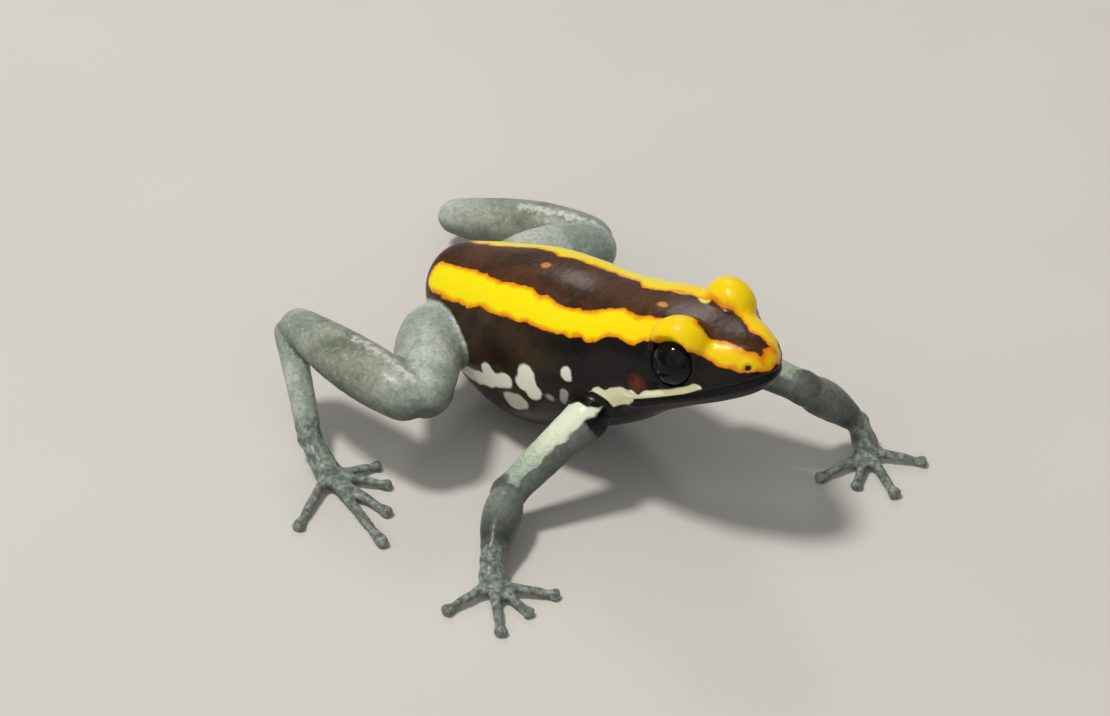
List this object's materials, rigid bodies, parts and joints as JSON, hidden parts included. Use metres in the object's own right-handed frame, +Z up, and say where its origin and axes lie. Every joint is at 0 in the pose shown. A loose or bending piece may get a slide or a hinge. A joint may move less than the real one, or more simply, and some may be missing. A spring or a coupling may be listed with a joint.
{
  "type": "poison dart frog model",
  "caption": "Life-size still model of a small striped poison dart frog crouching on spread legs, front raised, with slim digits that end in small pads.",
  "frame": {"origin": "centre of the model's outline on the floor that its toes and fingers rest on", "axes": "+X to the frog's front, +Y to its left, +Z up"},
  "size_m": [0.0387, 0.0341, 0.0145],
  "materials": {
    "body_skin": "moist, smooth amphibian skin, brownish black with yellow stripes and cream marks",
    "limb_skin": "moist, finely granular amphibian skin, grey green with dark mottling",
    "eye": "high gloss, nearly black"
  },
  "bodies": {
    "root": {"head": "body_skin", "torso": "body_skin", "eye_left": "eye", "eye_right": "eye", "upper_arm_left": "limb_skin", "upper_arm_right": "limb_skin", "forearm_left": "limb_skin", "forearm_right": "limb_skin", "hand_left": "limb_skin", "hand_right": "limb_skin", "thigh_left": "limb_skin", "thigh_right": "limb_skin", "shank_left": "limb_skin", "shank_right": "limb_skin", "tarsus_left": "limb_skin", "tarsus_right": "limb_skin", "foot_left": "limb_skin", "foot_right": "limb_skin"}
  },
  "joints": []
}
